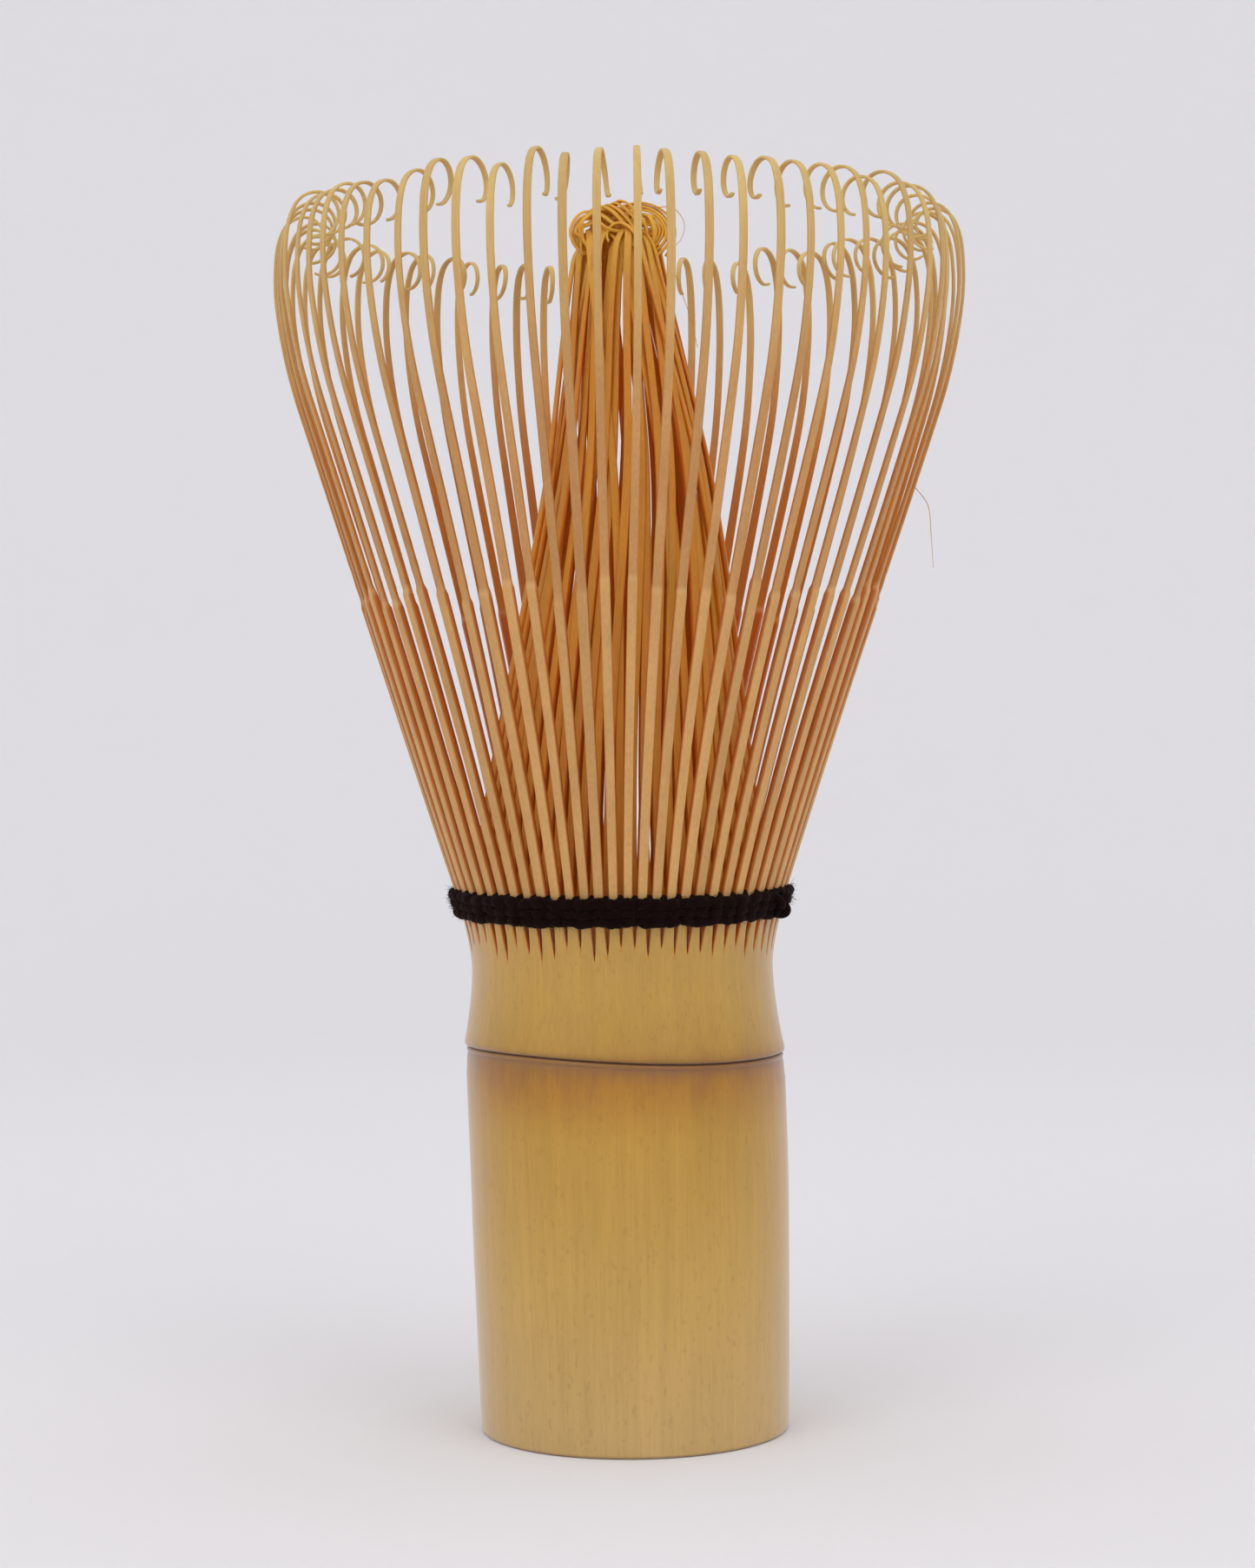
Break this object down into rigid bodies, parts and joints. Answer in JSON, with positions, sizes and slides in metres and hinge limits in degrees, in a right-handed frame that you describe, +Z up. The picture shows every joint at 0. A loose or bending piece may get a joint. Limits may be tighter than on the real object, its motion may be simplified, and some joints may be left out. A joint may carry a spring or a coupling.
{
  "type": "bamboo tea whisk",
  "caption": "Hand-carved bamboo tea whisk: hollow culm handle, flared ring of outer tines with curled tips, gathered inner tines and black thread lacing.",
  "frame": {"origin": "centre of the culm's foot, on the surface the whisk stands on", "axes": "+Z up along the culm's axis towards the tines' tips; +X to the right as pictured, where the thread's knot is, 22 degrees towards the front; -Y towards the viewer"},
  "size_m": [0.0618, 0.0618, 0.1094],
  "materials": {
    "culm_bamboo": "satin bamboo skin, ochre-tan, fine vertical fibre streaks",
    "septum_bamboo": "raw pale bamboo diaphragm",
    "outer_tine_bamboo": "split bamboo, tan bark face, orange sides, pale shaved tips",
    "inner_tine_bamboo": "split bamboo, deep orange, satin",
    "cotton_thread": "twisted black cotton thread, matt and slightly fuzzy"
  },
  "bodies": {
    "root": {"handle": "culm_bamboo", "node_septum": "septum_bamboo", "neck_ring": "culm_bamboo", "inner_split_01": "inner_tine_bamboo", "inner_split_02": "inner_tine_bamboo", "inner_split_03": "inner_tine_bamboo", "inner_split_04": "inner_tine_bamboo", "inner_split_05": "inner_tine_bamboo", "inner_split_06": "inner_tine_bamboo", "inner_split_07": "inner_tine_bamboo", "inner_split_08": "inner_tine_bamboo", "inner_split_09": "inner_tine_bamboo", "inner_split_10": "inner_tine_bamboo", "inner_split_11": "inner_tine_bamboo", "inner_split_12": "inner_tine_bamboo", "inner_split_13": "inner_tine_bamboo", "inner_split_14": "inner_tine_bamboo", "inner_split_15": "inner_tine_bamboo", "inner_split_16": "inner_tine_bamboo", "binding_thread": "cotton_thread", "thread_knot": "cotton_thread"},
    "outer_01": {"outer_split_01": "outer_tine_bamboo"},
    "outer_02": {"outer_split_02": "outer_tine_bamboo"},
    "outer_03": {"outer_split_03": "outer_tine_bamboo"},
    "outer_04": {"outer_split_04": "outer_tine_bamboo"},
    "outer_05": {"outer_split_05": "outer_tine_bamboo"},
    "outer_06": {"outer_split_06": "outer_tine_bamboo"},
    "outer_07": {"outer_split_07": "outer_tine_bamboo"},
    "outer_08": {"outer_split_08": "outer_tine_bamboo"},
    "outer_09": {"outer_split_09": "outer_tine_bamboo"},
    "outer_10": {"outer_split_10": "outer_tine_bamboo"},
    "outer_11": {"outer_split_11": "outer_tine_bamboo"},
    "outer_12": {"outer_split_12": "outer_tine_bamboo"},
    "outer_13": {"outer_split_13": "outer_tine_bamboo"},
    "outer_14": {"outer_split_14": "outer_tine_bamboo"},
    "outer_15": {"outer_split_15": "outer_tine_bamboo"},
    "outer_16": {"outer_split_16": "outer_tine_bamboo"}
  },
  "joints": [
    {"name": "outer_flex_01", "type": "hinge", "parent": "root", "child": "outer_01", "pos_m": [0.01474, 0, 0.04865], "axis": [0, 1, 0], "range_deg": [-3, 8], "stiffness_Nm_per_rad": 0.012},
    {"name": "outer_flex_02", "type": "hinge", "parent": "root", "child": "outer_02", "pos_m": [0.01362, 0.00564, 0.04865], "axis": [-0.3827, 0.9239, 0], "range_deg": [-3, 8], "stiffness_Nm_per_rad": 0.012},
    {"name": "outer_flex_03", "type": "hinge", "parent": "root", "child": "outer_03", "pos_m": [0.01042, 0.01042, 0.04865], "axis": [-0.7071, 0.7071, 0], "range_deg": [-3, 8], "stiffness_Nm_per_rad": 0.012},
    {"name": "outer_flex_04", "type": "hinge", "parent": "root", "child": "outer_04", "pos_m": [0.00564, 0.01362, 0.04865], "axis": [-0.9239, 0.3827, 0], "range_deg": [-3, 8], "stiffness_Nm_per_rad": 0.012},
    {"name": "outer_flex_05", "type": "hinge", "parent": "root", "child": "outer_05", "pos_m": [0, 0.01474, 0.04865], "axis": [-1, 0, 0], "range_deg": [-3, 8], "stiffness_Nm_per_rad": 0.012},
    {"name": "outer_flex_06", "type": "hinge", "parent": "root", "child": "outer_06", "pos_m": [-0.00564, 0.01362, 0.04865], "axis": [-0.9239, -0.3827, 0], "range_deg": [-3, 8], "stiffness_Nm_per_rad": 0.012},
    {"name": "outer_flex_07", "type": "hinge", "parent": "root", "child": "outer_07", "pos_m": [-0.01042, 0.01042, 0.04865], "axis": [-0.7071, -0.7071, 0], "range_deg": [-3, 8], "stiffness_Nm_per_rad": 0.012},
    {"name": "outer_flex_08", "type": "hinge", "parent": "root", "child": "outer_08", "pos_m": [-0.01362, 0.00564, 0.04865], "axis": [-0.3827, -0.9239, 0], "range_deg": [-3, 8], "stiffness_Nm_per_rad": 0.012},
    {"name": "outer_flex_09", "type": "hinge", "parent": "root", "child": "outer_09", "pos_m": [-0.01474, 0, 0.04865], "axis": [0, -1, 0], "range_deg": [-3, 8], "stiffness_Nm_per_rad": 0.012},
    {"name": "outer_flex_10", "type": "hinge", "parent": "root", "child": "outer_10", "pos_m": [-0.01362, -0.00564, 0.04865], "axis": [0.3827, -0.9239, 0], "range_deg": [-3, 8], "stiffness_Nm_per_rad": 0.012},
    {"name": "outer_flex_11", "type": "hinge", "parent": "root", "child": "outer_11", "pos_m": [-0.01042, -0.01042, 0.04865], "axis": [0.7071, -0.7071, 0], "range_deg": [-3, 8], "stiffness_Nm_per_rad": 0.012},
    {"name": "outer_flex_12", "type": "hinge", "parent": "root", "child": "outer_12", "pos_m": [-0.00564, -0.01362, 0.04865], "axis": [0.9239, -0.3827, 0], "range_deg": [-3, 8], "stiffness_Nm_per_rad": 0.012},
    {"name": "outer_flex_13", "type": "hinge", "parent": "root", "child": "outer_13", "pos_m": [0, -0.01474, 0.04865], "axis": [1, 0, 0], "range_deg": [-3, 8], "stiffness_Nm_per_rad": 0.012},
    {"name": "outer_flex_14", "type": "hinge", "parent": "root", "child": "outer_14", "pos_m": [0.00564, -0.01362, 0.04865], "axis": [0.9239, 0.3827, 0], "range_deg": [-3, 8], "stiffness_Nm_per_rad": 0.012},
    {"name": "outer_flex_15", "type": "hinge", "parent": "root", "child": "outer_15", "pos_m": [0.01042, -0.01042, 0.04865], "axis": [0.7071, 0.7071, 0], "range_deg": [-3, 8], "stiffness_Nm_per_rad": 0.012},
    {"name": "outer_flex_16", "type": "hinge", "parent": "root", "child": "outer_16", "pos_m": [0.01362, -0.00564, 0.04865], "axis": [0.3827, 0.9239, 0], "range_deg": [-3, 8], "stiffness_Nm_per_rad": 0.012}
  ]
}
